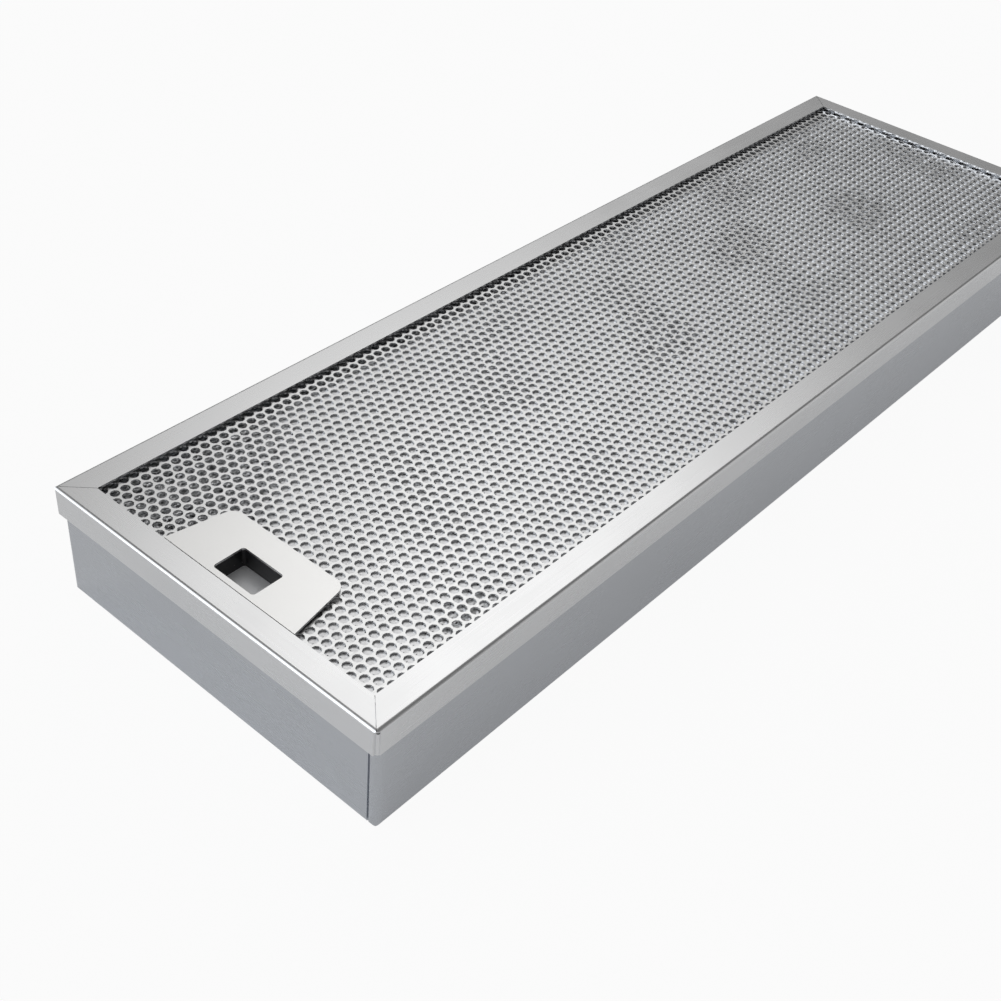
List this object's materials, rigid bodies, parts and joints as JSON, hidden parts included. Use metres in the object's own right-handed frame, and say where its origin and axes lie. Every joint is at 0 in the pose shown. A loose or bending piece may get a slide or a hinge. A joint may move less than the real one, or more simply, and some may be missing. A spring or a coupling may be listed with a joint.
{
  "type": "cooker hood grease filter",
  "caption": "Deep cassette grease filter for a cooker hood: crimped metal mesh between perforated sheets in a folded frame with a wider rim and a recessed finger grip.",
  "frame": {"origin": "middle of the underside, on the surface that the filter rests on", "axes": "+X along the length, away from the end with the finger grip; +Y across the width; +Z out of the perforated face with the grip"},
  "size_m": [0.57, 0.178, 0.054],
  "materials": {
    "frame_metal": "satin, fine brushed along the strip",
    "grille_metal": "bright mill finish",
    "mesh_metal": "bright crimped foil",
    "plate_metal": "satin",
    "grip_plastic": "black, fine matt",
    "floor_metal": "smooth satin"
  },
  "bodies": {
    "root": {"rim_frame": "frame_metal", "body_frame": "frame_metal", "front_grille": "grille_metal", "back_grille": "grille_metal", "handle_plate": "plate_metal", "grip_housing": "grip_plastic", "grip_floor": "floor_metal", "mesh_layer_01": "mesh_metal", "mesh_layer_02": "mesh_metal", "mesh_layer_03": "mesh_metal", "mesh_layer_04": "mesh_metal", "mesh_layer_05": "mesh_metal", "mesh_layer_06": "mesh_metal", "mesh_layer_07": "mesh_metal", "mesh_layer_08": "mesh_metal", "mesh_layer_09": "mesh_metal", "mesh_layer_10": "mesh_metal", "mesh_layer_11": "mesh_metal", "mesh_layer_12": "mesh_metal", "mesh_layer_13": "mesh_metal", "mesh_layer_14": "mesh_metal"}
  },
  "joints": []
}
